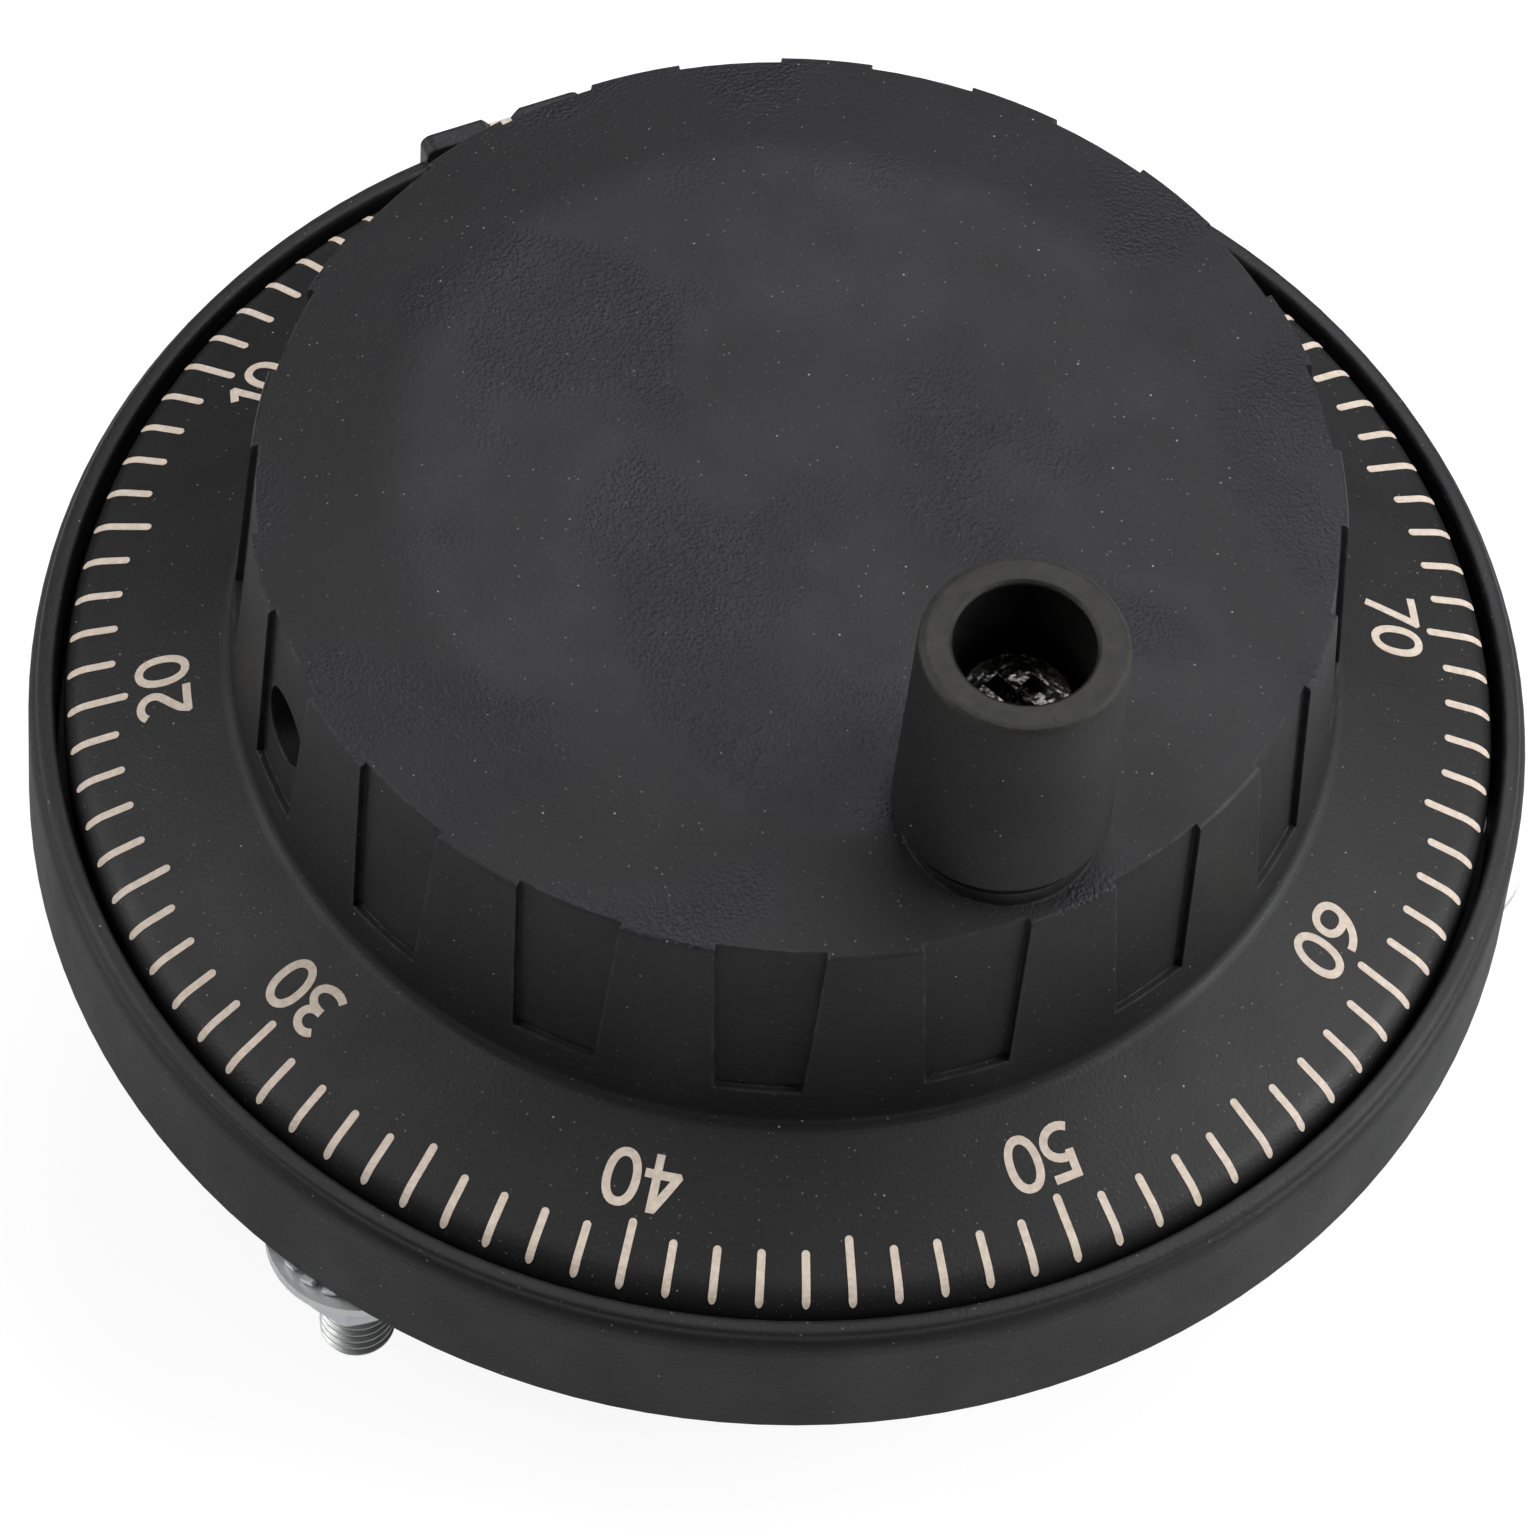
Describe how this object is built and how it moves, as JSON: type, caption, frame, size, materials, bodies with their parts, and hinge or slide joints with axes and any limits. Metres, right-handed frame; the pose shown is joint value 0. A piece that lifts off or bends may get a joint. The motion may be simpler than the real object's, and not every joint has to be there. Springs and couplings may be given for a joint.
{
  "type": "pulse generator handwheel",
  "caption": "Panel-mounted pulse handwheel: graduated dial and ribbed knob with a spinning handle, on ball bearings, with magnetic clicks, a slotted code disc and screw terminals behind.",
  "frame": {"origin": "on the dial's axis, at the flange's back face, where it meets the panel", "axes": "+Z along the dial's axis towards the operator; +Y from the axis to the index notch; +X completes a right-handed frame"},
  "size_m": [0.08, 0.0808, 0.0646],
  "materials": {
    "black_plastic": "fine spark-eroded matt, satin where worn",
    "housing_plastic": "plain moulded matt",
    "bracket_plastic": "plain moulded matt",
    "terminal_plastic": "moulded phenolic, slight sheen",
    "zinc": "zinc plated, clear passivated",
    "blackened_steel": "oiled black oxide",
    "ground_steel": "ground",
    "bearing_steel": "polished",
    "cage_brass": "pressed",
    "brass": "turned",
    "laminated_steel": "stamped and deburred",
    "magnet": "nickel plated",
    "seal_rubber": "matt",
    "disc_steel": "etched foil",
    "board": "green solder mask",
    "component_body": "moulded",
    "lens_plastic": "tinted, clear to infrared",
    "slit_glass": "chromed slits on glass"
  },
  "bodies": {
    "stator": {"bezel_ring": "black_plastic", "rear_housing": "housing_plastic", "rear_cover": "housing_plastic", "housing_screws": "zinc", "cover_screws": "zinc", "mounting_studs": "zinc", "stud_nuts": "zinc", "star_washers": "zinc", "flat_washers": "zinc", "front_bearing_outer_ring": "bearing_steel", "rear_bearing_outer_ring": "bearing_steel", "shaft_seal": "seal_rubber", "pole_shoes": "laminated_steel", "click_magnets": "magnet", "circuit_board": "board", "board_screws": "zinc", "board_components": "component_body", "emitter_bracket": "bracket_plastic", "light_emitter": "lens_plastic", "light_receiver": "component_body", "slit_plate": "slit_glass", "terminal_block": "terminal_plastic", "terminal_plates": "brass", "terminal_clamps": "zinc", "terminal_screws": "zinc"},
    "rotor": {"dial_wheel": "black_plastic", "hub_insert": "brass", "hub_screw": "blackened_steel", "shaft": "ground_steel", "front_bearing_inner_ring": "bearing_steel", "rear_bearing_inner_ring": "bearing_steel", "bearing_spacer": "ground_steel", "click_wheel": "laminated_steel", "code_disc_hub": "brass", "code_disc": "disc_steel", "disc_clamp": "brass", "shaft_circlip": "blackened_steel", "handle_insert": "brass", "handle_screw": "blackened_steel", "grip_washer": "black_plastic"},
    "handle": {"handle_grip": "black_plastic"},
    "front_cage": {"front_bearing_balls": "bearing_steel", "front_bearing_cage": "cage_brass"},
    "rear_cage": {"rear_bearing_balls": "bearing_steel", "rear_bearing_cage": "cage_brass"}
  },
  "joints": [
    {"name": "dial_spin", "type": "hinge", "parent": "stator", "child": "rotor", "pos_m": [0, 0, 0], "axis": [0, 0, 1], "continuous": true},
    {"name": "handle_spin", "type": "hinge", "parent": "rotor", "child": "handle", "pos_m": [0.00115, -0.02187, 0.02765], "axis": [0, 0, 1], "continuous": true},
    {"name": "front_cage_spin", "type": "hinge", "parent": "stator", "child": "front_cage", "pos_m": [0, 0, 0.0095], "axis": [0, 0, 1], "continuous": true},
    {"name": "rear_cage_spin", "type": "hinge", "parent": "stator", "child": "rear_cage", "pos_m": [0, 0, 0.0025], "axis": [0, 0, 1], "continuous": true}
  ],
  "couplings": [
    {"joint": "front_cage_spin", "follows": "dial_spin", "ratio": 0.38095},
    {"joint": "rear_cage_spin", "follows": "dial_spin", "ratio": 0.38095}
  ]
}
